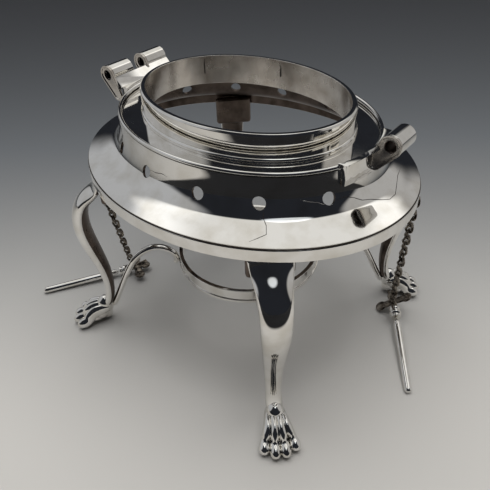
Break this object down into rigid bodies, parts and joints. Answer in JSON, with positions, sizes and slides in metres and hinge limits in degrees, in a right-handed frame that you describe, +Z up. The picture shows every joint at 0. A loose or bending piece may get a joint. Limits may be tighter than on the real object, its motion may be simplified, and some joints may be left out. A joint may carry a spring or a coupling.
{
  "type": "spirit kettle stand",
  "caption": "Oval warming stand with claw-foot legs, a vented apron, a kettle seat collar, a lamp ring on scroll arms and hinge pins on chains.",
  "frame": {"origin": "centre of the stand on the surface it stands on", "axes": "+Z up, +X along the oval's long axis towards the single-knuckle bracket, +Y across the oval"},
  "size_m": [0.2015, 0.147, 0.1279],
  "materials": {
    "polished_silver": "mirror-polished silver plate with light wear",
    "oxidised_silver": "darkened silver, bright on the high spots"
  },
  "bodies": {
    "stand": {"rim_band": "polished_silver", "apron": "polished_silver", "lip_wire": "polished_silver", "gutter_plate": "polished_silver", "collar_step": "polished_silver", "seat_collar": "polished_silver", "lamp_ring": "polished_silver", "leg_front": "polished_silver", "leg_right": "polished_silver", "leg_rear": "polished_silver", "leg_left": "polished_silver", "arm_front": "polished_silver", "arm_right": "polished_silver", "arm_rear": "polished_silver", "arm_left": "polished_silver", "leaf_left": "polished_silver", "leaf_right": "polished_silver", "knuckle_left_front": "polished_silver", "knuckle_left_rear": "polished_silver", "knuckle_right": "polished_silver", "key_left_front": "polished_silver", "key_left_rear": "polished_silver", "key_right": "polished_silver", "staple_left": "oxidised_silver", "staple_right": "oxidised_silver"},
    "chain_upper_left": {"chain_upper_left": "oxidised_silver"},
    "chain_lower_left": {"chain_lower_left": "oxidised_silver"},
    "pin_left": {"pin_shaft_left": "polished_silver", "pin_knop_left": "polished_silver", "thumb_plate_left": "oxidised_silver"},
    "chain_upper_right": {"chain_upper_right": "oxidised_silver"},
    "chain_lower_right": {"chain_lower_right": "oxidised_silver"},
    "pin_right": {"pin_shaft_right": "polished_silver", "pin_knop_right": "polished_silver", "thumb_plate_right": "oxidised_silver"}
  },
  "joints": [
    {"name": "chain_swing_left", "type": "hinge", "parent": "stand", "child": "chain_upper_left", "pos_m": [-0.05884, -0.04281, 0.08796], "axis": [-0.8172, 0.5064, 0.2753], "range_deg": [0, 70]},
    {"name": "chain_fold_left", "type": "hinge", "parent": "chain_upper_left", "child": "chain_lower_left", "pos_m": [-0.06621, -0.03238, 0.0469], "axis": [-0.8172, 0.5064, 0.2753], "range_deg": [0, 45]},
    {"name": "pin_tilt_left", "type": "hinge", "parent": "chain_lower_left", "child": "pin_left", "pos_m": [-0.07332, -0.02226, 0.00578], "axis": [0.8452, -0.5345, -0.0018], "range_deg": [-35, 40]},
    {"name": "chain_swing_right", "type": "hinge", "parent": "stand", "child": "chain_upper_right", "pos_m": [0.0741, 0.0231, 0.0893], "axis": [-0.825, -0.5639, -0.0384], "range_deg": [0, 70]},
    {"name": "chain_fold_right", "type": "hinge", "parent": "chain_upper_right", "child": "chain_lower_right", "pos_m": [0.07042, 0.03116, 0.05019], "axis": [-0.825, -0.5639, -0.0384], "range_deg": [0, 45]},
    {"name": "pin_tilt_right", "type": "hinge", "parent": "chain_lower_right", "child": "pin_right", "pos_m": [0.06717, 0.04006, 0.00846], "axis": [0.7163, 0.4244, 0.5539], "range_deg": [-35, 40]}
  ]
}
